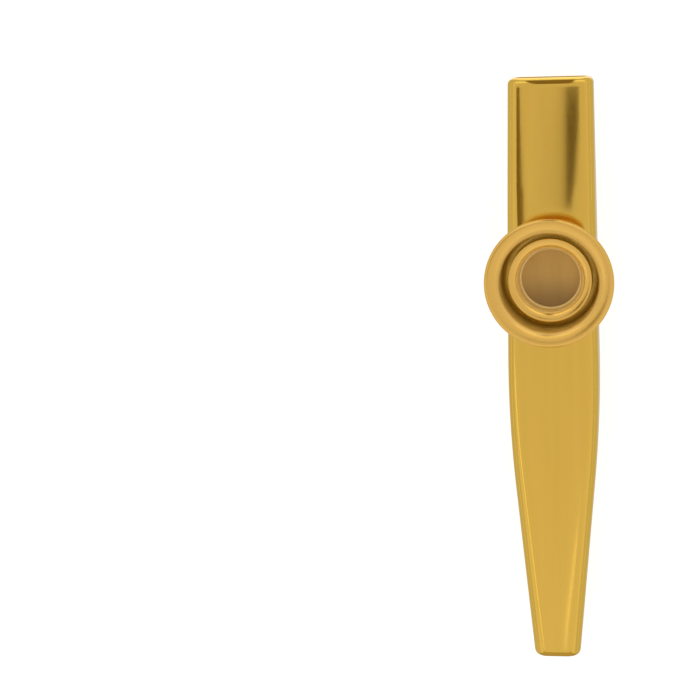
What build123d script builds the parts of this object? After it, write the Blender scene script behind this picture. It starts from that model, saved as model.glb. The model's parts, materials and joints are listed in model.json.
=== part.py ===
from build123d import *
from math import cos, radians, sin, tan
import os

# A kazoo of gold sheet metal, lying on its flat belly with the turret up.
# Millimetres. +Y runs to the mouth end, +Z up out of the turret, X is across.

# Body outside: widths are seen from above, depths from the side.
LENGTH = 120.0
MOUTH_WIDTH = 17.0
SHOULDER_WIDTH = 18.6  # where the lines of the two tapers would cross
TAIL_WIDTH = 9.3
MOUTH_DEPTH = 8.6
BODY_DEPTH = 14.0
TAIL_DEPTH = 9.0
SHOULDER_FROM_TAIL = 50.3  # start of the tail's taper, seen from above
MOUTH_SLOPE_LENGTH = 27.0  # mouth end to the crease in front of the flat seat
TAIL_SLOPE_LENGTH = 52.0  # tail end to the crease behind the flat seat
SHOULDER_BLEND = 13.8  # how far the shoulder's curve runs each way
SLOPE_BLEND = 6.5  # the same for the creases seen from the side
CORNER_RADIUS = 2.5  # along the four long edges

# Sheet, turned lips and side seam
SHEET = 0.6
LIP_RADIUS = 1.25
LIP_LAND = 0.15  # flat edge of the turned lip
SEAM_GAP = 0.12
TONGUE_HEIGHT = 1.3  # the lower shell's edge inside the upper shell
TONGUE_CLEARANCE = 0.03
JOGGLE_HEIGHT = 0.8  # below the seam, where the edge steps in

# Membrane
MEMBRANE_RADIUS = 7.0
RING_WIDTH = 1.2
RING_THICKNESS = 0.62
RING_EDGE = 0.12  # rounding of the ring's upper edges
FILM_THICKNESS = 0.08

# Threaded neck
TURRET_FROM_MOUTH = 39.3
NECK_HEIGHT = 2.5
NECK_RIM = 0.6  # metal outside the membrane, up to the thread's crests
SEAT_WIDTH = 1.4  # ledge under the membrane
NECK_CHAMFER = 0.25
SPIGOT_WALL = 0.6
SPIGOT_CLEARANCE = 0.03
STAKE_WIDTH = 0.5
STAKE_THICKNESS = 0.5

# Clamp ring of the cap
THREAD_CLEARANCE = 0.05
MEMBRANE_CLEARANCE = 0.05
SHOULDER_CLEARANCE = 0.1  # above the neck, so that only the membrane is clamped
CLAMP_WALL = 0.65
CLAMP_LIP = 0.9  # how far the window's edge reaches over the membrane
CLAMP_GAP = 0.4  # under the foot, above the top face
WINDOW_HEIGHT = 3.2  # crest above the membrane's ring
WINDOW_ROUND = 1.9  # from the crest down into the window
CREST_ROUND = 0.15  # outer edge of the crest
FOOT_WIDTH = 0.5
FOOT_HEIGHT = 0.5

# Flared bell of the cap; its radii are those of the sheet's middle
BELL_SHEET = 0.5
PRESS_CLEARANCE = 0.02
TROUGH_WIDTH = 1.4
KNUCKLE_RADIUS = 1.3
KNEE_RADIUS = 0.5  # where the tube bends out into the flare
KNEE_TURN = 45.0  # degrees of that bend
FLARE_RADIUS = 2.76
ROLL_RADIUS = 0.4
BELL_HEIGHT = 11.4  # rim above the top face

OVERRUN = 1.0  # cuts run past the faces that they open by this much

# Places and sizes that follow from these; turret heights are above the top face
MOUTH_Y = LENGTH / 2
TAIL_Y = -LENGTH / 2
SEAM_Z = BODY_DEPTH / 2
TURRET = Pos(0, MOUTH_Y - TURRET_FROM_MOUTH, BODY_DEPTH)

BORE_RADIUS = MEMBRANE_RADIUS - SEAT_WIDTH
SPIGOT_RADIUS = BORE_RADIUS + SPIGOT_WALL
THREAD_RADIUS = MEMBRANE_RADIUS + NECK_RIM

FILM_TOP = NECK_HEIGHT + FILM_THICKNESS
RING_TOP = FILM_TOP + RING_THICKNESS
CLAMP_BORE = THREAD_RADIUS + THREAD_CLEARANCE
CLAMP_RADIUS = CLAMP_BORE + CLAMP_WALL
FOOT_TOP = CLAMP_GAP + FOOT_HEIGHT


def bend_radius(before, corner, after, reach):
    """Radius of the arc that rounds a corner, starting a given reach before it."""
    turn = (Vector(corner) - Vector(before)).get_angle(Vector(after) - Vector(corner))
    return reach / tan(radians(turn) / 2)


def mirrored_face(points, reach, about):
    """Face between a line with rounded bends and its mirror image."""
    bends = zip(points, points[1:], points[2:])
    side = FilletPolyline(*points, radius=[bend_radius(*bend, reach) for bend in bends])
    other = mirror(side, about=about)
    ends = [Line(side @ 0, other @ 0), Line(side @ 1, other @ 1)]
    return make_face(ShapeList([side, other, *ends]).edges())


def plan_face():
    """Outline of the body from above."""
    points = [
        (MOUTH_WIDTH / 2, MOUTH_Y),
        (SHOULDER_WIDTH / 2, TAIL_Y + SHOULDER_FROM_TAIL),
        (TAIL_WIDTH / 2, TAIL_Y),
    ]
    return mirrored_face(points, SHOULDER_BLEND, Plane.YZ)


def side_face():
    """Outline of the body from the side, with the seam on its middle line."""
    points = [
        (MOUTH_Y, MOUTH_DEPTH / 2),
        (MOUTH_Y - MOUTH_SLOPE_LENGTH, BODY_DEPTH / 2),
        (TAIL_Y + TAIL_SLOPE_LENGTH, BODY_DEPTH / 2),
        (TAIL_Y, TAIL_DEPTH / 2),
    ]
    return mirrored_face(points, SLOPE_BLEND, Plane.XZ)


def inset_face(face, inset):
    """The face with its edges moved in."""
    return offset(face, amount=-inset) if inset else face


def body_blank(inset):
    """Solid inside the body's outer surface moved in by an inset, with rounded long edges."""
    plan = extrude(inset_face(plan_face(), inset), amount=BODY_DEPTH)
    side = Plane.YZ * Pos(0, SEAM_Z) * inset_face(side_face(), inset)
    blank = plan & extrude(side, amount=SHOULDER_WIDTH, both=True)
    edges = blank.edges()
    long_edges = edges - edges.filter_by(Axis.X) - edges.filter_by(Axis.Z)
    return fillet(long_edges, CORNER_RADIUS - inset)


def round_ends(blank, radius):
    """The blank with the rim of its mouth end and tail end rounded."""
    faces = blank.faces().sort_by(Axis.Y)
    return fillet(faces[0].edges() + faces[-1].edges(), radius)


def end_opening(width, depth, y):
    """Cutter for the opening inside a turned lip."""
    inset = LIP_RADIUS + LIP_LAND
    outline = RectangleRounded(width - 2 * inset, depth - 2 * inset, CORNER_RADIUS - inset)
    return extrude(Plane.XZ.offset(-y) * Pos(0, SEAM_Z) * outline, amount=SHEET + OVERRUN, both=True)


def seam_slab(bottom, top, length):
    """Block across the whole body between two heights, measured from the seam."""
    block = Box(SHOULDER_WIDTH, length, top - bottom, align=(Align.CENTER, Align.CENTER, Align.MIN))
    return Pos(0, 0, SEAM_Z + bottom) * block


def turned(outline):
    """Solid of revolution about the turret's axis, from an outline in radius and height."""
    return TURRET * revolve(Plane.XZ * outline, axis=Axis.Z)


def polygon(*points):
    return make_face(Polyline(*points, close=True))


def body_walls(cavity):
    """The whole body as one wall of sheet, open at both ends."""
    walls = round_ends(body_blank(0), LIP_RADIUS) - cavity
    walls -= end_opening(MOUTH_WIDTH, MOUTH_DEPTH, MOUTH_Y)
    return walls - end_opening(TAIL_WIDTH, TAIL_DEPTH, TAIL_Y)


def upper_shell(walls):
    """Top half, with the hole for the neck's spigot."""
    half = walls & seam_slab(SEAM_GAP / 2, BODY_DEPTH, LENGTH + OVERRUN)
    return half - TURRET * Cylinder(SPIGOT_RADIUS + SPIGOT_CLEARANCE, 2 * (SHEET + OVERRUN))


def lower_shell(walls):
    """Bottom half, whose side edges step in and lap inside the upper shell."""
    half = walls & seam_slab(-BODY_DEPTH, -SEAM_GAP / 2, LENGTH + OVERRUN)
    straight = LENGTH - 2 * (LIP_RADIUS + SHEET)
    hollow = body_blank(2 * SHEET + TONGUE_CLEARANCE)
    tongue = body_blank(SHEET + TONGUE_CLEARANCE) - hollow
    tongue &= seam_slab(-SEAM_GAP / 2 - JOGGLE_HEIGHT, TONGUE_HEIGHT, straight)
    step = body_blank(SHEET) - hollow
    step &= seam_slab(-SEAM_GAP / 2 - JOGGLE_HEIGHT, -SEAM_GAP / 2, straight)
    return half + step + tongue


def threaded_neck(cavity):
    """Ring with a threaded outside, whose spigot is spread under the sheet."""
    end = -SHEET - STAKE_THICKNESS
    spread = SPIGOT_RADIUS + STAKE_WIDTH
    shank = polygon(
        (BORE_RADIUS, end),
        (SPIGOT_RADIUS, end),
        (SPIGOT_RADIUS, 0),
        (THREAD_RADIUS, 0),
        (THREAD_RADIUS, NECK_HEIGHT - NECK_CHAMFER),
        (THREAD_RADIUS - NECK_CHAMFER, NECK_HEIGHT),
        (BORE_RADIUS, NECK_HEIGHT),
    )
    stake = polygon(
        (BORE_RADIUS, end),
        (SPIGOT_RADIUS, end),
        (spread, -SHEET),
        (spread, 0),
        (BORE_RADIUS, 0),
    )
    return turned(shank) + (turned(stake) & cavity)


def membrane_film():
    return TURRET * Pos(0, 0, NECK_HEIGHT) * extrude(Circle(MEMBRANE_RADIUS), amount=FILM_THICKNESS)


def membrane_ring():
    """Stiff rim of the membrane, bonded on top of the film."""
    section = polygon(
        (MEMBRANE_RADIUS - RING_WIDTH, FILM_TOP),
        (MEMBRANE_RADIUS, FILM_TOP),
        (MEMBRANE_RADIUS, RING_TOP),
        (MEMBRANE_RADIUS - RING_WIDTH, RING_TOP),
    )
    return turned(fillet(section.vertices().group_by(Axis.Y)[-1], RING_EDGE))


def clamp_ring():
    """Inner part of the cap: thread, recess for the membrane, and a window with a rounded mouth."""
    shoulder = NECK_HEIGHT + SHOULDER_CLEARANCE
    window = MEMBRANE_RADIUS - CLAMP_LIP
    recess = MEMBRANE_RADIUS + MEMBRANE_CLEARANCE
    crest = RING_TOP + WINDOW_HEIGHT
    section = polygon(
        (CLAMP_BORE, CLAMP_GAP),
        (CLAMP_RADIUS + FOOT_WIDTH, CLAMP_GAP),
        (CLAMP_RADIUS + FOOT_WIDTH, FOOT_TOP),
        (CLAMP_RADIUS, FOOT_TOP),
        (CLAMP_RADIUS, crest),
        (window, crest),
        (window, RING_TOP),
        (recess, RING_TOP),
        (recess, shoulder),
        (CLAMP_BORE, shoulder),
    )
    section = fillet(section.vertices().group_by(Axis.Y)[-1].sort_by(Axis.X)[0], WINDOW_ROUND)
    return turned(fillet(section.vertices().group_by(Axis.Y)[-1].sort_by(Axis.X)[-1], CREST_ROUND))


def flared_bell():
    """Outer part of the cap: floor, straight wall, knee, flare and rolled rim, all of one sheet."""
    wall = CLAMP_RADIUS + TROUGH_WIDTH + BELL_SHEET / 2
    floor = FOOT_TOP + BELL_SHEET / 2
    top = BELL_HEIGHT - BELL_SHEET / 2
    turn = radians(KNEE_TURN)
    apart = FLARE_RADIUS - KNEE_RADIUS  # between the centres of flare and knee
    rim = wall + KNEE_RADIUS + apart * cos(turn)
    knee_z = top - FLARE_RADIUS + apart * sin(turn)
    base = Line((CLAMP_RADIUS + PRESS_CLEARANCE, floor), (wall - KNUCKLE_RADIUS, floor))
    knuckle = CenterArc((wall - KNUCKLE_RADIUS, floor + KNUCKLE_RADIUS), KNUCKLE_RADIUS, -90, 90)
    tube = Line(knuckle @ 1, (wall, knee_z))
    knee = CenterArc((wall + KNEE_RADIUS, knee_z), KNEE_RADIUS, 180, -KNEE_TURN)
    flare = CenterArc((rim, top - FLARE_RADIUS), FLARE_RADIUS, 180 - KNEE_TURN, KNEE_TURN - 90)
    roll = CenterArc((rim, top - ROLL_RADIUS), ROLL_RADIUS, 90, -180)
    return turned(trace([base, knuckle, tube, knee, flare, roll], BELL_SHEET))


os.makedirs("parts", exist_ok=True)
cavity = round_ends(body_blank(SHEET), LIP_RADIUS - SHEET)
walls = body_walls(cavity)
nodes = {
    "upper_shell": upper_shell(walls),
    "lower_shell": lower_shell(walls),
    "threaded_neck": threaded_neck(cavity),
    "membrane_film": membrane_film(),
    "membrane_ring": membrane_ring(),
    "clamp_ring": clamp_ring(),
    "flared_bell": flared_bell(),
}
for name, solid in nodes.items():
    export_step(solid, f"parts/{name}.step")
    print(name, round(solid.volume, 1))
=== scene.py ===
# %% [markdown]
# # A gold kazoo, dressed for the studio
# The frame holds seven plain solids: two body shells, a threaded neck, a membrane in two parts and a cap
# in two parts. They have the right size and place. This lesson gives each of them the mesh and the finish
# of the real piece, then sets up the floor, the light and the camera.

# %% Load the frame
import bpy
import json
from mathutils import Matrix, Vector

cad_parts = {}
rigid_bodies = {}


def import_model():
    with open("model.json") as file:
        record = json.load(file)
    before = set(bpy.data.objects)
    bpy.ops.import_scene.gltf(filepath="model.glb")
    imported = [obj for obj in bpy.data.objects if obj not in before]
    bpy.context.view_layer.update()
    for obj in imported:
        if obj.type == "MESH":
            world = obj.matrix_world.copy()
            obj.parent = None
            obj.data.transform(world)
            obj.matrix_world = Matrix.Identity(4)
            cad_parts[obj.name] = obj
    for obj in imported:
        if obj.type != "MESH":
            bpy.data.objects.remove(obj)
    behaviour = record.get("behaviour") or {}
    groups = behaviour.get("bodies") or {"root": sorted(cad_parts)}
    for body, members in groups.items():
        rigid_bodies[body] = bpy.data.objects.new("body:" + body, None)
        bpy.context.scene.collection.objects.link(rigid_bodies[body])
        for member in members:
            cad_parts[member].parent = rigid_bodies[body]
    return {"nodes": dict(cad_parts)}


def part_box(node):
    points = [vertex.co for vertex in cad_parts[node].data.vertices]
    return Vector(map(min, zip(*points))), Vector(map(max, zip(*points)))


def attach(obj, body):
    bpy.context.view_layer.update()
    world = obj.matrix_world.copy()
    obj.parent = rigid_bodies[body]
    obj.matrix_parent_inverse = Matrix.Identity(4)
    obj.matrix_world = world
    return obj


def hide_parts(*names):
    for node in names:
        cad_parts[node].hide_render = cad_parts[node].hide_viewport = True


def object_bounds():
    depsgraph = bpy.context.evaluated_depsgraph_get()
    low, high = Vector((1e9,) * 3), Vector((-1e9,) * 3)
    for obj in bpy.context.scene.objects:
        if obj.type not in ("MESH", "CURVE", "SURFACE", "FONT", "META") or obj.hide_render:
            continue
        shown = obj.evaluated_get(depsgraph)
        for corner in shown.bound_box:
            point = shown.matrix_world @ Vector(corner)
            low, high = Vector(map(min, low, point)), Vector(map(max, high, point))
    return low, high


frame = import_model()
cad_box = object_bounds()
print("CAD box in metres:", [list(corner) for corner in cad_box])

# %% Tools of this lesson
import json
from math import cos, pi, radians, sin, tan

import bmesh
import bpy
from mathutils import Matrix, Vector
from mathutils.bvhtree import BVHTree

MM = 0.001
scene = bpy.context.scene
print("One millimetre is", MM, "scene units")

# %% [markdown]
# ## Where the body's surface runs
# The body is pressed from sheet: straight tapers joined by soft bends. Reading the outline off the solid's
# facets would copy the facets, and polished metal shows every one of them. So a few rays measure two points
# on each straight run of the frame, and a formula draws the lines and the bends between them again,
# perfectly smooth.

# %% Measure the body
node = frame["nodes"]["lower_shell"].data
lower_tree = BVHTree.FromPolygons([v.co for v in node.vertices], [p.vertices for p in node.polygons])
belly_low, belly_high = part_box("lower_shell")
roof_low, roof_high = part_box("upper_shell")
mouth_y = belly_high.y
tail_y = belly_low.y
seam_z = (belly_low.z + roof_high.z) / 2
RAY_START = 50 * MM
PROBE_BELOW_SEAM = 0.3 * MM


def width_at(y):
    start = Vector((RAY_START, y, seam_z - PROBE_BELOW_SEAM))
    return lower_tree.ray_cast(start, Vector((-1, 0, 0)))[0].x


def depth_at(y):
    start = Vector((0, y, -RAY_START))
    return seam_z - lower_tree.ray_cast(start, Vector((0, 0, 1)))[0].z


print("half width in the middle:", width_at(0) / MM)

# %% Straight runs of the outline
MOUTH_WIDTH_PROBES = 6 * MM, 45 * MM  # distances from the end, both on the straight run
TAIL_WIDTH_PROBES = 6 * MM, 32 * MM
MOUTH_DEPTH_PROBES = 4 * MM, 18 * MM
TAIL_DEPTH_PROBES = 6 * MM, 40 * MM


def line_through(measure, end, inwards, probes):
    """Straight line through two measured stations. Inwards is the sign of y from the end into the body."""
    first, second = [end + inwards * probe for probe in probes]
    start, slope = measure(first), (measure(second) - measure(first)) / (second - first)
    return lambda y: start + slope * (y - first)


mouth_taper = line_through(width_at, mouth_y, -1, MOUTH_WIDTH_PROBES)
tail_taper = line_through(width_at, tail_y, 1, TAIL_WIDTH_PROBES)
mouth_slope = line_through(depth_at, mouth_y, -1, MOUTH_DEPTH_PROBES)
tail_slope = line_through(depth_at, tail_y, 1, TAIL_DEPTH_PROBES)
full_depth = seam_z - belly_low.z
print("half widths at the ends:", mouth_taper(mouth_y) / MM, tail_taper(tail_y) / MM)
print("half depths at the ends:", mouth_slope(mouth_y) / MM, tail_slope(tail_y) / MM)

# %% Draw the bends
SHOULDER_EASE = 1.43 * MM  # how much the two tapers differ where the shoulder's bend starts
CREASE_EASE = 0.6 * MM  # the same for the creases seen from the side


def smooth_least(a, b, ease):
    """The smaller of two values, with a parabola for the change-over."""
    overlap = max(ease - abs(a - b), 0) / ease
    return min(a, b) - overlap * overlap * ease / 4


def half_width(y):
    return smooth_least(mouth_taper(y), tail_taper(y), SHOULDER_EASE)


def half_depth(y):
    return smooth_least(smooth_least(mouth_slope(y), full_depth, CREASE_EASE), tail_slope(y), CREASE_EASE)


whole_millimetres = round((mouth_y - tail_y) / MM)
print("widest:", max(half_width(tail_y + i * MM) for i in range(whole_millimetres)) / MM)

# %% [markdown]
# ## The pressed shells
# Each half of the body is one sheet: a flat face, a rounded long edge on each side, straight walls down to
# the seam, and a lip at each end that is turned in through a quarter circle. A boolean or a bevelled box
# would leave pinched corners. Here a section is written once and swept along the stations, and the sheet's
# thickness comes from a Solidify modifier, as the press would have it: one skin, the same thickness all
# over. The flat is drawn a trifle crowned, because pressed sheet always springs back into a slight dome,
# and that is what softens its reflections.

# %% Section of a shell
SHEET = 0.6 * MM
CORNER = 2.5 * MM
LIP = 1.25 * MM
LIP_LAND = 0.15 * MM
SEAM_GAP = 0.12 * MM
CROWN_SHARE = 0.024  # height of the crown over half the flat's width
CROWN_POWER = 4  # level in the middle, falling towards the long edges
WALL_STEPS, CORNER_STEPS, FLAT_STEPS = 6, 14, 30


def shell_section(y, inset):
    """Points across the shell from one seam edge to the other, as x and height above the seam."""
    wide, deep, corner = half_width(y) - inset, half_depth(y) - inset, CORNER - inset
    centre, lean = wide - corner, CROWN_POWER * CROWN_SHARE
    flat = centre + corner * sin(lean)
    crown = CROWN_SHARE * flat
    shoulder = deep - crown - corner * cos(lean)
    wall = [(-wide, SEAM_GAP / 2 + (shoulder - SEAM_GAP / 2) * i / WALL_STEPS) for i in range(WALL_STEPS)]
    turns = [(pi / 2 - lean) * i / CORNER_STEPS for i in range(CORNER_STEPS)]
    bend = [(-centre - corner * cos(a), shoulder + corner * sin(a)) for a in turns]
    shares = [2 * i / FLAT_STEPS - 1 for i in range(FLAT_STEPS + 1)]
    face = [(flat * share, deep - crown * share ** CROWN_POWER) for share in shares]
    right = [(-x, height) for x, height in reversed(wall + bend)]
    return wall + bend + face + right


print("points in a section:", len(shell_section(0, 0)))

# %% Stations along the body
LIP_STEPS = 10
STATION = 0.75 * MM


def shell_stations():
    """Pairs of y and inset from the mouth's lip to the tail's lip."""
    turns = [pi / 2 * i / LIP_STEPS for i in range(LIP_STEPS + 1)]
    lip = [(LIP - LIP * sin(a), LIP - LIP * cos(a)) for a in turns]
    lip.append((0, LIP + LIP_LAND))
    mouth_lip = [(mouth_y - back, inset) for back, inset in reversed(lip)]
    tail_lip = [(tail_y + back, inset) for back, inset in lip]
    start, end = mouth_y - LIP, tail_y + LIP
    count = round((start - end) / STATION)
    straight = [(start + (end - start) * i / count, 0) for i in range(1, count)]
    return mouth_lip + straight + tail_lip


print("stations along the body:", len(shell_stations()))

# %% Helpers for meshes
SHARP_ANGLE = radians(32)


def mesh_object(name, verts, faces):
    mesh = bpy.data.meshes.new(name)
    mesh.from_pydata(verts, [], faces)
    piece = bpy.data.objects.new(name, mesh)
    scene.collection.objects.link(piece)
    return piece


def grid_faces(rows, columns, closed=False):
    """Quads of a grid of points that was written row by row."""
    last = columns if closed else columns - 1
    faces = []
    for row in range(rows - 1):
        for column in range(last):
            after = (column + 1) % columns
            a, b = row * columns + column, row * columns + after
            faces.append((a, b, b + columns, a + columns))
    return faces


def apply_modifiers(piece):
    """Replace the piece's mesh by one with its modifiers made real."""
    bpy.context.view_layer.update()
    shown = piece.evaluated_get(bpy.context.evaluated_depsgraph_get())
    mesh = bpy.data.meshes.new_from_object(shown)
    piece.modifiers.clear()
    piece.data = mesh
    mesh.name = piece.name


def smooth_faces(piece):
    """Smooth shading that stays crisp at real edges, with all faces turned outwards."""
    shape = bmesh.new()
    shape.from_mesh(piece.data)
    bmesh.ops.recalc_face_normals(shape, faces=shape.faces)
    shape.to_mesh(piece.data)
    shape.free()
    piece.data.polygons.foreach_set("use_smooth", [True] * len(piece.data.polygons))
    piece.data.set_sharp_from_angle(angle=SHARP_ANGLE)


def dress(piece, body, node_name):
    """Hide the CAD node that the piece takes the place of, and attach the piece to what it moves with."""
    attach(piece, body)
    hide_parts(node_name)
    print(piece.name, "has", len(piece.data.polygons), "faces and rides on", body)


print("sharp edges start at", round(SHARP_ANGLE, 2), "radians")

# %% Sweep a shell
EDGE_BREAK = 0.06 * MM
BREAK_SEGMENTS = 2
BREAK_ANGLE = radians(60)  # sharper edges than this are broken


def sweep_shell(name, up):
    """Shell on one side of the seam: up is 1 for the roof and -1 for the belly."""
    stations = shell_stations()
    verts = []
    for y, inset in stations:
        verts += [(x, y, seam_z + up * height) for x, height in shell_section(y, inset)]
    columns = len(shell_section(0, 0))
    return mesh_object(name, verts, grid_faces(len(stations), columns))


def thicken(piece):
    """Sheet thickness inwards, with the cut edges broken as a deburring tool leaves them."""
    smooth_faces(piece)
    solidify = piece.modifiers.new("sheet", "SOLIDIFY")
    solidify.thickness = SHEET
    solidify.offset = -1
    solidify.use_even_offset = True
    bevel = piece.modifiers.new("deburr", "BEVEL")
    bevel.width = EDGE_BREAK
    bevel.segments = BREAK_SEGMENTS
    bevel.limit_method = "ANGLE"
    bevel.angle_limit = BREAK_ANGLE
    apply_modifiers(piece)
    smooth_faces(piece)


top_shell = sweep_shell("top_shell", 1)
print("open skin of the top shell:", len(top_shell.data.polygons), "faces")

# %% [markdown]
# ## The hole for the neck
# The press also punches a round hole in the roof for the neck's spigot. Faces inside the circle are taken
# out, and the ragged edge that is left is drawn onto the circle. The neck's flange covers this edge, so no
# finer cut is needed.

# %% Punch the roof
neck_low, neck_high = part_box("threaded_neck")
turret_y = (neck_low.y + neck_high.y) / 2
turret_axis = Vector((0, turret_y))
HOLE_RADIUS = 6.25 * MM
ROOF_RISE = 0.5  # upward share of a face's normal that makes it part of the roof


def off_axis(point):
    """Distance of a point from the turret's axis."""
    return (point.xy - turret_axis).length


def punch(piece, radius):
    shape = bmesh.new()
    shape.from_mesh(piece.data)
    roof = [face for face in shape.faces if face.normal.z > ROOF_RISE]
    inside = [face for face in roof if off_axis(face.calc_center_median()) < radius]
    bmesh.ops.delete(shape, geom=inside, context="FACES")
    for vert in shape.verts:
        if vert.is_boundary and off_axis(vert.co) < radius + STATION:
            outwards = (vert.co.xy - turret_axis).normalized()
            vert.co.xy = turret_axis + outwards * radius
    shape.to_mesh(piece.data)
    shape.free()
    return len(inside)


smooth_faces(top_shell)
print("faces punched out:", punch(top_shell, HOLE_RADIUS))
thicken(top_shell)
dress(top_shell, "body", "upper_shell")

# %% [markdown]
# ## The belly shell and its lap
# The lower half is the same pressing turned over, and its side walls carry a tongue that steps in and laps
# inside the roof's walls. Only a hairline shows outside. The tongue is a strip of its own section along both
# walls, joined into the same piece, so the seam has something dark and solid behind it instead of a slit to
# look through.

# %% Belly shell with tongues
TONGUE_TOP = 1.3 * MM
TONGUE_ROOT = 0.86 * MM
TONGUE_FIT = 0.03 * MM


def tongue(side):
    """Closed strip inside one wall, from below the seam to above it."""
    start, end = mouth_y - LIP - SHEET, tail_y + LIP + SHEET
    count = round((start - end) / STATION)
    low, high = seam_z - TONGUE_ROOT, seam_z + TONGUE_TOP
    verts = []
    for i in range(count + 1):
        y = start + (end - start) * i / count
        outer = half_width(y) - SHEET - TONGUE_FIT
        inner = outer - SHEET
        corners = (outer, low), (outer, high), (inner, high), (inner, low)
        verts += [(side * x, y, z) for x, z in corners]
    columns = len(corners)
    faces = grid_faces(count + 1, columns, closed=True)
    faces += [tuple(range(columns)), tuple(columns * count + i for i in range(columns))]
    return verts, faces


def join_strip(piece, verts, faces):
    shape = bmesh.new()
    shape.from_mesh(piece.data)
    added = [shape.verts.new(co) for co in verts]
    for face in faces:
        shape.faces.new([added[i] for i in face])
    shape.to_mesh(piece.data)
    shape.free()


belly_shell = sweep_shell("belly_shell", -1)
thicken(belly_shell)
for side in (-1, 1):
    join_strip(belly_shell, *tongue(side))
smooth_faces(belly_shell)
dress(belly_shell, "body", "lower_shell")

# %% [markdown]
# ## Turned and spun pieces
# Everything in the turret is round: the neck and the window ring are turned on a lathe, and the bell is spun
# over a former. All of them are a section carried round the turret's axis. The section is written as a
# closed loop of radius and height, and a tooth depth can be given to each point, so the same helper also
# cuts a screw thread: the radius of those points follows a helix with the pitch of the real thread.

# %% Lathe helper
TURNS_AROUND = 240
PITCH = 0.75 * MM
TOOTH_DEPTH = 0.28 * MM


def tooth(turns):
    """Depth share of a rolled thread's groove at a number of turns along the helix."""
    return (1 - cos(2 * pi * turns)) / 2


def lathe(name, section):
    """Mesh of a closed section of (radius, height, tooth depth) points about the turret's axis."""
    verts = []
    for i in range(TURNS_AROUND):
        angle = 2 * pi * i / TURNS_AROUND
        for radius, height, depth in section:
            groove = depth * tooth(height / PITCH - i / TURNS_AROUND) if depth else 0
            reach = radius + groove
            verts.append((reach * cos(angle), turret_y + reach * sin(angle), height))
    columns = len(section)
    faces = grid_faces(TURNS_AROUND, columns, closed=True)
    for column in range(columns):
        after = (column + 1) % columns
        row = (TURNS_AROUND - 1) * columns
        faces.append((row + column, row + after, after, column))
    piece = mesh_object(name, verts, faces)
    smooth_faces(piece)
    return piece


def plain(*points):
    """Section points without thread."""
    return [(radius, height, 0) for radius, height in points]


def arc(centre, radius, start, end, steps):
    """Points along an arc in the section, angles in degrees."""
    angles = [radians(start + (end - start) * i / steps) for i in range(steps + 1)]
    return [(centre[0] + radius * cos(a), centre[1] + radius * sin(a)) for a in angles]


print("a lathe piece has", TURNS_AROUND, "steps round")

# %% Neck with its thread
neck_radius = (neck_high.x - neck_low.x) / 2
face_z = roof_high.z
SPIGOT = 6.2 * MM
BORE = 5.6 * MM
STAKE = 0.45 * MM
NECK_CHAMFER = 0.3 * MM
THREAD_START = 0.2 * MM  # above the roof
THREAD_ROWS = 60
RUN_OUT = 1 / 8  # share of the threaded wall at each end where the groove runs out


def thread_rows(radius, low, high, depth):
    """Fine rows along a threaded wall, with the groove running out at both ends."""
    rows = []
    for i in range(THREAD_ROWS + 1):
        share = i / THREAD_ROWS
        fade = min(1, share / RUN_OUT, (1 - share) / RUN_OUT)
        rows.append((radius, low + (high - low) * share, depth * fade))
    return rows


thread_low, thread_high = face_z + THREAD_START, neck_high.z - NECK_CHAMFER
neck_section = plain(
    (BORE, neck_low.z), (SPIGOT, neck_low.z), (SPIGOT + STAKE, neck_low.z + STAKE),
    (SPIGOT, neck_low.z + STAKE), (SPIGOT, face_z), (neck_radius, face_z),
)
neck_section += thread_rows(neck_radius, thread_low, thread_high, -TOOTH_DEPTH)
neck_section += plain((neck_radius - NECK_CHAMFER, neck_high.z), (BORE, neck_high.z))
neck_ring = lathe("neck_ring", neck_section)
dress(neck_ring, "body", "threaded_neck")

# %% [markdown]
# ## The window ring
# This is the inner ring of the cap. It screws onto the neck, presses on the membrane's rim, and its window
# opens upwards through a full round to a bright crest. The foot at its lower edge carries the bell. Its
# edges are broken by small arcs, because on turned metal it is the edge that catches the light.

# %% Window ring
ring_low, ring_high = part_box("clamp_ring")
rim_low, rim_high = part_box("membrane_ring")
film_low, film_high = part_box("membrane_film")
foot_radius = (ring_high.x - ring_low.x) / 2
membrane_radius = (rim_high.x - rim_low.x) / 2
FOOT_WIDTH, FOOT_HEIGHT = 0.5 * MM, 0.5 * MM
WALL = 0.65 * MM
CLAMP_LIP = 0.9 * MM
WINDOW_ROUND = 1.9 * MM
EDGE = 0.15 * MM
RECESS_FIT = 0.05 * MM
SHOULDER_FIT = 0.1 * MM
EDGE_STEPS, ROUND_STEPS = 6, 24
ring_radius = foot_radius - FOOT_WIDTH
bore_radius = ring_radius - WALL
window_radius = membrane_radius - CLAMP_LIP
recess_radius = membrane_radius + RECESS_FIT
shoulder_z = neck_high.z + SHOULDER_FIT
round_at = (window_radius + WINDOW_ROUND, ring_high.z - WINDOW_ROUND)

window_section = plain(
    (bore_radius, ring_low.z), (foot_radius, ring_low.z), (foot_radius, ring_low.z + FOOT_HEIGHT),
    (ring_radius, ring_low.z + FOOT_HEIGHT),
)
window_section += plain(*arc((ring_radius - EDGE, ring_high.z - EDGE), EDGE, 0, 90, EDGE_STEPS))
window_section += plain(*arc(round_at, WINDOW_ROUND, 90, 180, ROUND_STEPS))
window_section += plain(
    (window_radius, rim_high.z), (recess_radius, rim_high.z), (recess_radius, shoulder_z),
    (bore_radius, shoulder_z),
)
window_section += thread_rows(bore_radius, neck_high.z, ring_low.z + EDGE, TOOTH_DEPTH)
window_ring = lathe("window_ring", window_section)
dress(window_ring, "cap", "clamp_ring")

# %% [markdown]
# ## The spun bell
# The bell starts as a narrow floor on the window ring's foot, turns up through a round knuckle into a short
# tube, bends out sharply at a knee, flares to a flat brim and ends in an edge that is rolled under. It is
# one sheet, so the section is drawn as the line in the middle of the sheet and then given half the thickness
# on each side.

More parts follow.
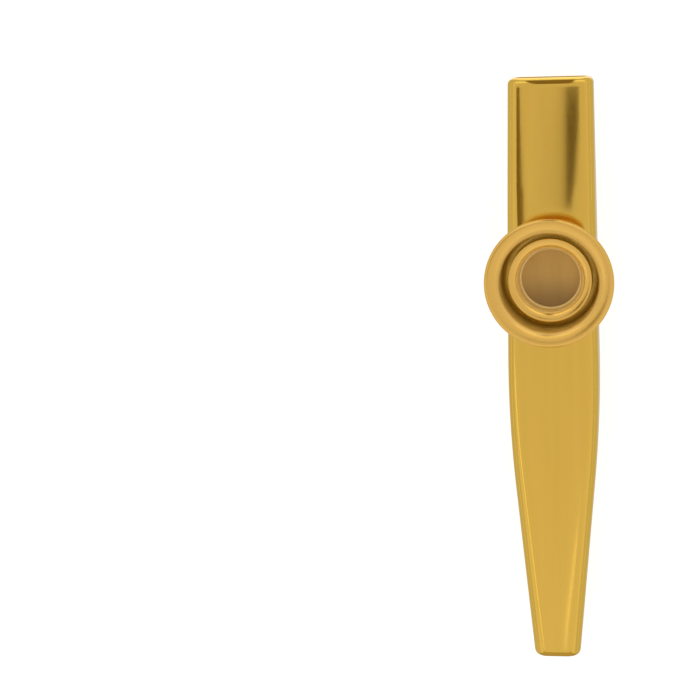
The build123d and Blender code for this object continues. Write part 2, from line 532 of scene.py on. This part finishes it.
# %% Spun bell
bell_low, bell_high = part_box("flared_bell")
brim_radius = (bell_high.x - bell_low.x) / 2
BELL_SHEET = 0.5 * MM
KNUCKLE = 1.3 * MM
KNEE = 0.5 * MM
KNEE_TURN = 45  # degrees
FLARE = 2.76 * MM
ROLL = 0.4 * MM
PRESS_FIT = 0.02 * MM
KNUCKLE_STEPS, KNEE_STEPS, FLARE_STEPS, ROLL_STEPS, TIP_STEPS = 18, 12, 30, 20, 8
half_sheet = BELL_SHEET / 2
roll_r = brim_radius - half_sheet - ROLL
floor_z = bell_low.z + half_sheet
brim_z = bell_high.z - half_sheet
flare_at = (roll_r, brim_z - FLARE)
roll_at = (roll_r, brim_z - ROLL)
knee_at = arc(flare_at, FLARE - KNEE, 180 - KNEE_TURN, 90, FLARE_STEPS)[0]
tube_r = knee_at[0] - KNEE
knuckle_at = (tube_r - KNUCKLE, floor_z + KNUCKLE)


def bell_line(offset):
    """Line at a distance from the sheet's middle, positive on the side of the hollow."""
    inner_end = (ring_radius + PRESS_FIT, floor_z + offset)
    line = [inner_end] + arc(knuckle_at, KNUCKLE - offset, -90, 0, KNUCKLE_STEPS)
    line += arc(knee_at, KNEE + offset, 180, 180 - KNEE_TURN, KNEE_STEPS)
    line += arc(flare_at, FLARE + offset, 180 - KNEE_TURN, 90, FLARE_STEPS)[1:]
    return line + arc(roll_at, ROLL + offset, 90, -90, ROLL_STEPS)[1:]


bell_tip = arc((roll_r, brim_z - 2 * ROLL), half_sheet, -90, -270, TIP_STEPS)[1:-1]
bell_section = plain(*bell_line(half_sheet), *bell_tip, *reversed(bell_line(-half_sheet)))
spun_bell = lathe("spun_bell", bell_section)
dress(spun_bell, "cap", "flared_bell")

# %% [markdown]
# ## The membrane
# The membrane is a thin, slightly hazy plastic skin bonded under a stiffer milky rim. A flat disc would look
# like glass. The skin is drawn tight but never quite even, so its mesh has shallow, soft ripples that run in
# from the rim.

# %% Membrane rim
RIM_WIDTH = 1.2 * MM
RIM_EDGE = 0.15 * MM
RIM_STEPS = 5
rim_inner = membrane_radius - RIM_WIDTH
rim_edge_z = rim_high.z - RIM_EDGE
rim_section = plain((rim_inner, rim_low.z), (membrane_radius, rim_low.z))
rim_section += plain(*arc((membrane_radius - RIM_EDGE, rim_edge_z), RIM_EDGE, 0, 90, RIM_STEPS))
rim_section += plain(*arc((rim_inner + RIM_EDGE, rim_edge_z), RIM_EDGE, 90, 180, RIM_STEPS))
membrane_rim = lathe("membrane_rim", rim_section)
dress(membrane_rim, "membrane", "membrane_ring")

# %% Ripples of the skin
RIPPLE = 0.02 * MM
BROAD_FOLDS, BROAD_TWIST = 3, 5
FINE_FOLDS, FINE_TWIST, FINE_SHARE = 7, -4, 0.6
HUMP_TOP = 1 / 4  # the most that share * (1 - share) can be


def ripple(radius, angle):
    """Height of the skin's soft ripples, nothing at the middle and at the bonded rim."""
    share = min(radius / rim_inner, 1)
    wave = sin(BROAD_FOLDS * angle + BROAD_TWIST * share)
    wave += FINE_SHARE * sin(FINE_FOLDS * angle + FINE_TWIST * share)
    return RIPPLE * wave * share * (1 - share) / HUMP_TOP


def skin_ring(radius, height):
    points = []
    for i in range(TURNS_AROUND):
        angle = 2 * pi * i / TURNS_AROUND
        z = height + ripple(radius, angle)
        points.append((radius * cos(angle), turret_y + radius * sin(angle), z))
    return points


print("ripples are up to", RIPPLE * (1 + FINE_SHARE) / MM, "mm high")

# %% Membrane skin
SKIN_RINGS = 40
skin_thickness = (film_high.z - film_low.z) / 2  # the other half leaves room for the ripples
skin_z = film_low.z + skin_thickness

skin_verts = []
for i in range(1, SKIN_RINGS + 1):
    skin_verts += skin_ring(membrane_radius * i / SKIN_RINGS, skin_z)
skin_faces = grid_faces(SKIN_RINGS, TURNS_AROUND, closed=True)
skin_faces.append(tuple(range(TURNS_AROUND)))
membrane_skin = mesh_object("membrane_skin", skin_verts, skin_faces)
smooth_faces(membrane_skin)
skin_sheet = membrane_skin.modifiers.new("skin", "SOLIDIFY")
skin_sheet.thickness = skin_thickness
skin_sheet.offset = 0
apply_modifiers(membrane_skin)
smooth_faces(membrane_skin)
dress(membrane_skin, "membrane", "membrane_film")

# %% [markdown]
# ## Gold anodised metal
# Anodised aluminium is a metal under a thin clear oxide layer that has taken up a dye. The pressed sheet was
# brushed along its length before dyeing, and the turned rings and the spun bell carry fine rings from the
# tool. So there are two kinds of finish, brushed and ringed, and each is made in several tones and degrees
# of gloss. A metallic shader with a weak clear coat gives the oxide's whiter glint. Noise stretched along
# the brushing, or rings about the axis, make a faint bump. Noise also varies the roughness and shifts the
# dye a little, so no face is one flat colour.

# %% Materials and nodes
def new_material(name, kind="ShaderNodeBsdfPrincipled"):
    """Material with a single shader wired to its output."""
    material = bpy.data.materials.new(name)
    material.use_nodes = True
    tree = material.node_tree
    tree.nodes.clear()
    output = tree.nodes.new("ShaderNodeOutputMaterial")
    shader = tree.nodes.new(kind)
    tree.links.new(shader.outputs[0], output.inputs["Surface"])
    return material, tree, shader


def add(tree, kind, **properties):
    """New node with some of its properties set."""
    node = tree.nodes.new(kind)
    for name, value in properties.items():
        setattr(node, name, value)
    return node


def fill(node, values):
    """Set sockets of a node by their names."""
    for name, value in values.items():
        node.inputs[name].default_value = value


print("materials start from a bare shader")

# %% Patterns
NOISE_LOW, NOISE_HIGH = 0.3, 0.7  # nearly all of the noise lies between these two


def place(tree, scale, centre=(0, 0, 0)):
    """Object coordinates about a centre, stretched by a scale."""
    coordinates = add(tree, "ShaderNodeTexCoord")
    mapping = add(tree, "ShaderNodeMapping")
    fill(mapping, {"Location": [-c * s for c, s in zip(centre, scale)], "Scale": scale})
    tree.links.new(coordinates.outputs["Object"], mapping.inputs["Vector"])
    return mapping.outputs["Vector"]


def noise(tree, vector, detail=3.0):
    texture = add(tree, "ShaderNodeTexNoise")
    fill(texture, {"Scale": 1.0, "Detail": detail, "Roughness": 0.5})
    tree.links.new(vector, texture.inputs["Vector"])
    return texture.outputs["Fac"]


def spread(tree, value, low, high):
    """Value from noise mapped to a range."""
    ranger = add(tree, "ShaderNodeMapRange")
    fill(ranger, {"From Min": NOISE_LOW, "From Max": NOISE_HIGH, "To Min": low, "To Max": high})
    tree.links.new(value, ranger.inputs["Value"])
    return ranger.outputs["Result"]


def tint(tree, value, dark, light):
    """Colour between two tones."""
    mix = add(tree, "ShaderNodeMix", data_type="RGBA")
    fill(mix, {"A": (*dark, 1), "B": (*light, 1)})
    tree.links.new(value, mix.inputs["Factor"])
    return mix.outputs["Result"]


def bump(tree, height, depth):
    node = add(tree, "ShaderNodeBump")
    fill(node, {"Strength": 1.0, "Distance": depth})
    tree.links.new(height, node.inputs["Height"])
    return node.outputs["Normal"]


print("noise is read from", NOISE_LOW, "to", NOISE_HIGH)

# %% Dyed metal
EDGE_TONE = (0.92, 0.90, 0.84, 1)  # glint at grazing angles
OXIDE_COAT = {"Coat Weight": 0.2, "Coat Roughness": 0.08, "Coat IOR": 1.6}
DYE_CLOUDS = (60, 60, 60)
SHEET_STREAKS = (500, 10, 500)
SHEET_GRAIN = (9000, 90, 9000)
GRAIN_DETAIL = 4
GRAIN_DEPTH = 0.0012 * MM


def gold_shader(name, tones, streaks):
    """The dyed metal that the finishes share, with the dye uneven along streaks."""
    material, tree, shader = new_material(name)
    fill(shader, {"Metallic": 1.0, "Specular Tint": EDGE_TONE, **OXIDE_COAT})
    cloud = noise(tree, place(tree, streaks))
    tree.links.new(tint(tree, cloud, *tones), shader.inputs["Base Color"])
    return material, tree, shader


def brushed_gold(name, tones, rough):
    """Pressed sheet, brushed along the body."""
    material, tree, shader = gold_shader(name, tones, SHEET_STREAKS)
    grain = noise(tree, place(tree, SHEET_GRAIN), GRAIN_DETAIL)
    tree.links.new(spread(tree, grain, *rough), shader.inputs["Roughness"])
    tree.links.new(bump(tree, grain, GRAIN_DEPTH), shader.inputs["Normal"])
    return material


print("the oxide layer is", OXIDE_COAT)

# %% Rings from the tool
RINGS = {"Scale": 900, "Distortion": 1.5, "Detail": 2.0, "Detail Scale": 400}
SMUDGES = (500, 500, 500)


def ringed_gold(name, tones, rough, ring_depth):
    """Turned or spun metal with fine rings about the turret's axis."""
    material, tree, shader = gold_shader(name, tones, DYE_CLOUDS)
    vector = place(tree, (1, 1, 1), centre=(0, turret_y, 0))
    rings = add(tree, "ShaderNodeTexWave", wave_type="RINGS", rings_direction="Z")
    fill(rings, RINGS)
    tree.links.new(vector, rings.inputs["Vector"])
    smudge = noise(tree, place(tree, SMUDGES))
    tree.links.new(spread(tree, smudge, *rough), shader.inputs["Roughness"])
    tree.links.new(bump(tree, rings.outputs["Fac"], ring_depth), shader.inputs["Normal"])
    return material


def give(piece, material):
    piece.data.materials.clear()
    piece.data.materials.append(material)
    print(piece.name, "is finished in", material.name)


print("tool rings have the scale", RINGS["Scale"])

# %% Polished metal
SHEET_TONES = (0.825, 0.545, 0.078), (0.905, 0.60, 0.106)
TURRET_TONES = (0.87, 0.55, 0.110), (0.95, 0.61, 0.145)
DEEP_RINGS = 0.0010 * MM
FAINT_RINGS = 0.0001 * MM

sheet_finish = brushed_gold("brushed_gold", SHEET_TONES, rough=(0.09, 0.13))
turned_finish = ringed_gold("turned_gold_rings", TURRET_TONES, (0.16, 0.24), DEEP_RINGS)
spun_finish = ringed_gold("spun_gold_rings", TURRET_TONES, (0.24, 0.28), FAINT_RINGS)
for piece in (top_shell, belly_shell):
    give(piece, sheet_finish)
for piece in (neck_ring, window_ring):
    give(piece, turned_finish)
give(spun_bell, spun_finish)

# %% [markdown]
# ## Metal that no mop reaches, and painted light
# The polishing mop reaches the brim and the crest, but not the narrow trough between bell and window ring,
# the window's wall, the back of the bell or the inside of the body. There the metal stays dull. Except
# inside the body, these finishes are also painted paler than the polished gold, as painted light: it lifts
# the shade in the trough and in the window, and brightens the back of the bell. Under the brim it is painted
# palest, painted light for the light this downward face doesn't get. The knee of the bell is matt and
# painted pale, a painted highlight for a bright band at the inner edge of the brim. The faces in question
# are found by where they are and which way they look, and get a finish of their own.

# %% Dull finishes, painted paler as painted light
# painted light: these tones are paler than the polished gold, to lift shade and brighten what the metal
# mirrors
RECESS_PAINTED_LIGHT_TONES = (0.92, 0.74, 0.24), (0.96, 0.78, 0.28)
BELL_BACK_PAINTED_LIGHT_TONES = (0.86, 0.62, 0.16), (0.91, 0.66, 0.19)
WINDOW_PAINTED_LIGHT_TONES = (0.97, 0.80, 0.34), (1.0, 0.84, 0.38)
UNDER_BRIM_PAINTED_LIGHT_TONES = (0.86, 0.74, 0.40), (0.90, 0.78, 0.45)
KNEE_PAINTED_HIGHLIGHT_TONES = (0.94, 0.67, 0.19), (0.98, 0.71, 0.23)
DULL_RINGS = 0.0008 * MM

inside_finish = brushed_gold("unbrushed_gold", SHEET_TONES, rough=(0.45, 0.55))
recess_painted_light_finish = ringed_gold("recess_painted_light_rings", RECESS_PAINTED_LIGHT_TONES, (0.45, 0.60), DULL_RINGS)
bell_back_painted_light_finish = ringed_gold("bell_back_painted_light_rings", BELL_BACK_PAINTED_LIGHT_TONES, (0.32, 0.42), DULL_RINGS)
window_painted_light_finish = ringed_gold("window_painted_light_rings", WINDOW_PAINTED_LIGHT_TONES, (0.60, 0.70), DULL_RINGS)
under_brim_painted_light_finish = ringed_gold("under_brim_painted_light_rings", UNDER_BRIM_PAINTED_LIGHT_TONES, (0.45, 0.55), DULL_RINGS)
knee_painted_highlight_finish = ringed_gold("knee_painted_highlight_rings", KNEE_PAINTED_HIGHLIGHT_TONES, (0.40, 0.50), FAINT_RINGS)
print("dull rings are", DULL_RINGS / MM, "mm deep")

# %% Where the dull metal and the painted light are
WINDOW_SHARE = 0.72  # share of the window's round that stays dull
LEVEL = 0.05  # upward share of a face's normal, below which the face looks sideways or down
DOWNWARD = -0.2  # the same for a face that looks down
KNEE_RISE = 0.80  # the same where the knee ends and the flare begins
ENDWISE = 0.95  # share of a face's normal along the body at a cut end


def in_trough(at, facing):
    return off_axis(at) < tube_r and at.z < knee_at[1]


def on_bell_back(at, facing):
    return off_axis(at) > tube_r and facing.z < LEVEL and at.z < roll_at[1]


def under_brim(at, facing):
    return off_axis(at) > knee_at[0] and facing.z < DOWNWARD and at.z < roll_at[1]


def on_knee(at, facing):
    return off_axis(at) < knee_at[0] and 0 < facing.z < KNEE_RISE and at.z > knee_at[1]


def on_ring_wall(at, facing):
    return off_axis(at) > ring_radius - EDGE / 2 and at.z < ring_high.z - EDGE


def in_window(at, facing):
    return off_axis(at) < bore_radius and at.z < round_at[1] + WINDOW_SHARE * WINDOW_ROUND


def in_body(at, facing):
    """Faces of a shell that look at its middle line, and the cut ends of the tongues."""
    inwards = at.x * facing.x + (at.z - seam_z) * facing.z < 0
    return inwards or (abs(facing.y) > ENDWISE and tail_y + LIP < at.y < mouth_y - LIP)


print("the window is dull up to", WINDOW_SHARE, "of its round")

# %% Refinish the dull faces
def refinish(piece, finish, chosen):
    """Give a finish of their own to the faces that a test on place and direction chooses."""
    piece.data.materials.append(finish)
    slot = len(piece.data.materials) - 1
    faces = [face for face in piece.data.polygons if chosen(face.center, face.normal)]
    for face in faces:
        face.material_index = slot
    print(piece.name, "has", len(faces), "faces in", finish.name)


# painted light: the trough and the window ring's wall are painted paler to lift the shade in this recess
refinish(spun_bell, recess_painted_light_finish, in_trough)
# painted light: the back of the bell, looking sideways and down, is painted paler than the polished gold
refinish(spun_bell, bell_back_painted_light_finish, on_bell_back)
# painted light: the brim's underside is painted palest, standing in for light that this downward face
# doesn't get
refinish(spun_bell, under_brim_painted_light_finish, under_brim)
# painted highlight: the knee is painted pale for the bright band at the inner edge of the brim
refinish(spun_bell, knee_painted_highlight_finish, on_knee)
refinish(window_ring, recess_painted_light_finish, on_ring_wall)
# painted light: the window's wall is painted palest, lifting the shade deep in the window round the membrane
refinish(window_ring, window_painted_light_finish, in_window)
for piece in (top_shell, belly_shell):
    refinish(piece, inside_finish, in_body)

# %% [markdown]
# ## Membrane plastics
# The rim is moulded in a milky plastic that light enters a little way, so its shader scatters below the
# surface. The skin is a drawn film. Fine streaks from the drawing vary its gloss and how much light it lets
# through. On the side away from the mouth end its tone is painted darker, a painted shadow of the window's
# edge, as a smooth change of tone along the body.

# %% Milky rim
MILKY_TONES = (0.90, 0.72, 0.36), (0.97, 0.80, 0.44)
MILKY_CLOUDS = (700, 700, 700)
MILKY_ROUGH = 0.35, 0.5
MILKY_DEPTH = 0.01 * MM
LIGHT_REACH = 0.4 * MM  # how far light gets under the surface


def milky_plastic():
    """Milky, satin rim of the membrane."""
    material, tree, shader = new_material("milky_plastic")
    cloud = noise(tree, place(tree, MILKY_CLOUDS))
    tree.links.new(tint(tree, cloud, *MILKY_TONES), shader.inputs["Base Color"])
    tree.links.new(spread(tree, cloud, *MILKY_ROUGH), shader.inputs["Roughness"])
    fill(shader, {"Specular IOR Level": 0.25, "Subsurface Weight": 0.3})
    fill(shader, {"Subsurface Radius": (LIGHT_REACH, LIGHT_REACH, LIGHT_REACH)})
    tree.links.new(bump(tree, cloud, MILKY_DEPTH), shader.inputs["Normal"])
    return material


give(membrane_rim, milky_plastic())

# %% Hazy skin
SKIN_PAINTED_SHADE_TONES = (0.46, 0.30, 0.11), (0.86, 0.58, 0.18)  # painted shadow side away from the mouth end, lit side
SKIN_STREAKS = (420, 70, 420)
STREAK_DETAIL = 2
SKIN_ROUGH = 0.30, 0.42
SKIN_COVER = 0.52, 0.60
STREAK_DEPTH = 0.003 * MM


def hazy_skin():
    """Thin film that scatters a little and lets much of the light through, painted darker away from the
    mouth end as a painted shadow.
    """
    material, tree, shader = new_material("hazy_skin")
    streaks = noise(tree, place(tree, SKIN_STREAKS), STREAK_DETAIL)
    axes = add(tree, "ShaderNodeSeparateXYZ")
    tree.links.new(place(tree, (1, 1, 1), centre=(0, turret_y, 0)), axes.inputs["Vector"])
    # painted shade: the skin darkens towards the side away from the mouth end, a painted shadow of the
    # window's edge
    painted_shade_ramp = add(tree, "ShaderNodeMapRange", interpolation_type="SMOOTHSTEP")
    fill(painted_shade_ramp, {"From Min": -rim_inner, "From Max": rim_inner / 4})
    tree.links.new(axes.outputs["Y"], painted_shade_ramp.inputs["Value"])
    tree.links.new(tint(tree, painted_shade_ramp.outputs["Result"], *SKIN_PAINTED_SHADE_TONES), shader.inputs["Base Color"])
    tree.links.new(spread(tree, streaks, *SKIN_ROUGH), shader.inputs["Roughness"])
    tree.links.new(spread(tree, streaks, *SKIN_COVER), shader.inputs["Alpha"])
    fill(shader, {"Specular IOR Level": 0.3})
    tree.links.new(bump(tree, streaks, STREAK_DEPTH), shader.inputs["Normal"])
    return material


give(membrane_skin, hazy_skin())

# %% [markdown]
# ## Floor, light and camera
# The object lies on a plain white table under one large soft roof of light. Polished metal is seen by what
# it mirrors, so a few more panels are hung for single faces of the body: dark flags that draw the dark
# streaks and lines, and bright strips for the edges. Small cards near the ends do the same for the lips, and
# a large cream card on the table is what the side walls mirror. All of them are meshes that glow and that
# the camera doesn't see. Flags, strips and cards are seen by reflections only, so they don't change the soft
# light on the floor. The floor is a plain sheet far larger than the object. The camera looks down with a
# long lens, from just beyond the mouth end.

# %% Floor
FLOOR_HALF = 3.0
FLOOR_TONES = (0.50, 0.50, 0.50), (0.52, 0.52, 0.52)
FLOOR_CLOUDS = (4, 4, 4)
FLOOR_GLOW = 0.75
table_z = cad_box[0][2]


def flat_panel(name, centre, half_x, half_y, turn=(0, 0, 0)):
    """Rectangle facing down its own -Z, placed by its middle."""
    corners = [(-half_x, -half_y, 0), (half_x, -half_y, 0), (half_x, half_y, 0), (-half_x, half_y, 0)]
    panel = mesh_object(name, corners, [(3, 2, 1, 0)])
    panel.location = centre
    panel.rotation_euler = [radians(angle) for angle in turn]
    return panel


floor = flat_panel("floor", (0, 0, table_z), FLOOR_HALF, FLOOR_HALF)
floor_material, floor_tree, floor_shader = new_material("pale_floor")
floor_cloud = noise(floor_tree, place(floor_tree, FLOOR_CLOUDS))
floor_tone = tint(floor_tree, floor_cloud, *FLOOR_TONES)
floor_tree.links.new(floor_tone, floor_shader.inputs["Base Color"])
fill(floor_shader, {"Roughness": 0.8, "Emission Color": (1, 1, 1, 1), "Emission Strength": FLOOR_GLOW})
give(floor, floor_material)

# %% Roof of light
WARM = (1.0, 0.92, 0.90, 1)
ROOF_HEIGHT = 0.8
ROOF_EDGE = 65  # degrees from the zenith, like the next two
DIMMEST_AT = 8
BRIGHTEST_FROM = 55
DIMMEST, BRIGHTEST = 0.70, 0.85
ROOF_STRETCH = (0.4, 1, 1)  # the light changes less across the body than along it


def hang(name, corners, height, material):
    """Panel overhead, its corners given by their angles from the zenith across and along the body."""
    points = [(height * tan(radians(x)), height * tan(radians(y)), height) for x, y in corners]
    panel = mesh_object(name, points, [tuple(range(len(points)))])
    give(panel, material)
    panel.visible_camera = False
    panel.visible_shadow = False
    return panel


def roof_glow():
    """Light that is dimmest overhead, a little towards the mouth end, and grows away from there."""
    material, tree, light = new_material("roof_glow", "ShaderNodeEmission")
    fill(light, {"Color": WARM})
    centre = (0, ROOF_HEIGHT * tan(radians(DIMMEST_AT)), ROOF_HEIGHT)
    length = add(tree, "ShaderNodeVectorMath", operation="LENGTH")
    tree.links.new(place(tree, ROOF_STRETCH, centre), length.inputs[0])
    ramp = add(tree, "ShaderNodeMapRange", interpolation_type="SMOOTHSTEP")
    fill(ramp, {"From Min": 0, "From Max": ROOF_HEIGHT * tan(radians(BRIGHTEST_FROM))})
    fill(ramp, {"To Min": DIMMEST, "To Max": BRIGHTEST})
    tree.links.new(length.outputs["Value"], ramp.inputs["Value"])
    tree.links.new(ramp.outputs["Result"], light.inputs["Strength"])
    return material


roof_corners = [(x * ROOF_EDGE, y * ROOF_EDGE) for x, y in ((-1, -1), (1, -1), (1, 1), (-1, 1))]
hang("roof_light", roof_corners, ROOF_HEIGHT, roof_glow())

# %% Flags and strips
BROWN = (1.0, 0.70, 0.30, 1)
FLAG_HEIGHT = 0.7
PANELS = [  # name, strength, colour, and corners in degrees from the zenith
    ("flag_camera", 0.07, BROWN, [(-1.6, 3.5), (0.4, 3.5), (1.8, 9), (6.6, 12), (6.8, 13.7), (-1.2, 13.7)]),
    (
        "flag_left", 0.20, BROWN,
        [(-18, -4), (-10, -4), (-10.5, 8), (-14.5, 13.5), (-14.5, 15), (-32, 15), (-27, 9)],
    ),
    ("strip_left", 1.4, WARM, [(-58, -17), (-50, -17), (-17, -30), (-24, -30)]),
    ("strip_right", 1.3, WARM, [(6.2, -23.3), (8.8, -23.3), (1, -27.3), (-1.6, -27.3)]),
    ("window_front", 1.1, WARM, [(-45, 45), (45, 45), (60, 68), (-60, 68)]),
]


def glow(name, strength, colour):
    """Even light of one strength."""
    material, tree, light = new_material(name + "_glow", "ShaderNodeEmission")
    fill(light, {"Color": colour, "Strength": strength})
    return material


for name, strength, colour, corners in PANELS:
    panel = hang(name, corners, FLAG_HEIGHT, glow(name, strength, colour))
    panel.visible_diffuse = False

# %% Cards on the table
CREAM = (1.0, 0.93, 0.78, 1)
HONEY = (1.0, 0.85, 0.55, 1)
UPRIGHT = (90, 0, 0)
LIFT = 0.2 * MM  # keeps a card clear of what it lies on
CARDS = [  # name, middle, half sizes, turn, strength and colour
    ("table_card", (0, 0, table_z + LIFT), (400 * MM, 400 * MM), (0, 0, 0), 0.66, CREAM),
    ("mouth_card", (0, mouth_y + 40 * MM, table_z + 2 * LIFT), (12 * MM, 39.5 * MM), (0, 0, 0), 1.4, WARM),
    ("tail_card", (0, tail_y - 6 * MM, table_z + 2 * LIFT), (5 * MM, 5.5 * MM), (0, 0, 0), 0.2, BROWN),
    ("mouth_flag", (-0.75 * MM, mouth_y + 16 * MM, 42 * MM), (6.25 * MM, 28 * MM), UPRIGHT, 0.22, BROWN),
    ("tail_flag", (0, tail_y - 10 * MM, 15.5 * MM), (12 * MM, 15 * MM), UPRIGHT, 0.5, HONEY),
]

for name, middle, halves, turn, strength, colour in CARDS:
    card = flat_panel(name, middle, *halves, turn)
    give(card, glow(name, strength, colour))
    card.visible_camera = False
    card.visible_shadow = False
    card.visible_diffuse = False

# %% Air
AIR_TONE = (1.0, 0.97, 0.95, 1)
AIR_GLOW = 0.64
world = bpy.data.worlds.new("studio_air")
scene.world = world
world.use_nodes = True
fill(world.node_tree.nodes["Background"], {"Color": AIR_TONE, "Strength": AIR_GLOW})
scene.view_settings.view_transform = "Standard"
print("the air glows at", AIR_GLOW)

# %% Camera
VIEW_DISTANCE = 0.4
EYE_SIDE = 20.96 * MM
EYE_FORWARD = 70.54 * MM
TARGET = Vector((-41.63 * MM, 5.48 * MM, 12 * MM))
ROLL_TURN = radians(-1.796)
LENS = 102.69
SENSOR_WIDTH = 36
FARTHEST = 10

eye = Vector((EYE_SIDE, TARGET.y + EYE_FORWARD, TARGET.z + VIEW_DISTANCE))
back = (eye - TARGET).normalized()
level = Vector((0, 1, 0)).cross(back).normalized()
upright = back.cross(level)
right = cos(ROLL_TURN) * level + sin(ROLL_TURN) * upright
above = back.cross(right)
camera_data = bpy.data.cameras.new("studio_camera")
camera_data.lens = LENS
camera_data.sensor_width = SENSOR_WIDTH
camera_data.clip_end = FARTHEST
camera = bpy.data.objects.new("studio_camera", camera_data)
camera.matrix_world = Matrix.Translation(eye) @ Matrix((right, above, back)).transposed().to_4x4()
scene.collection.objects.link(camera)
scene.camera = camera
print("camera stands at", [round(c, 3) for c in eye])
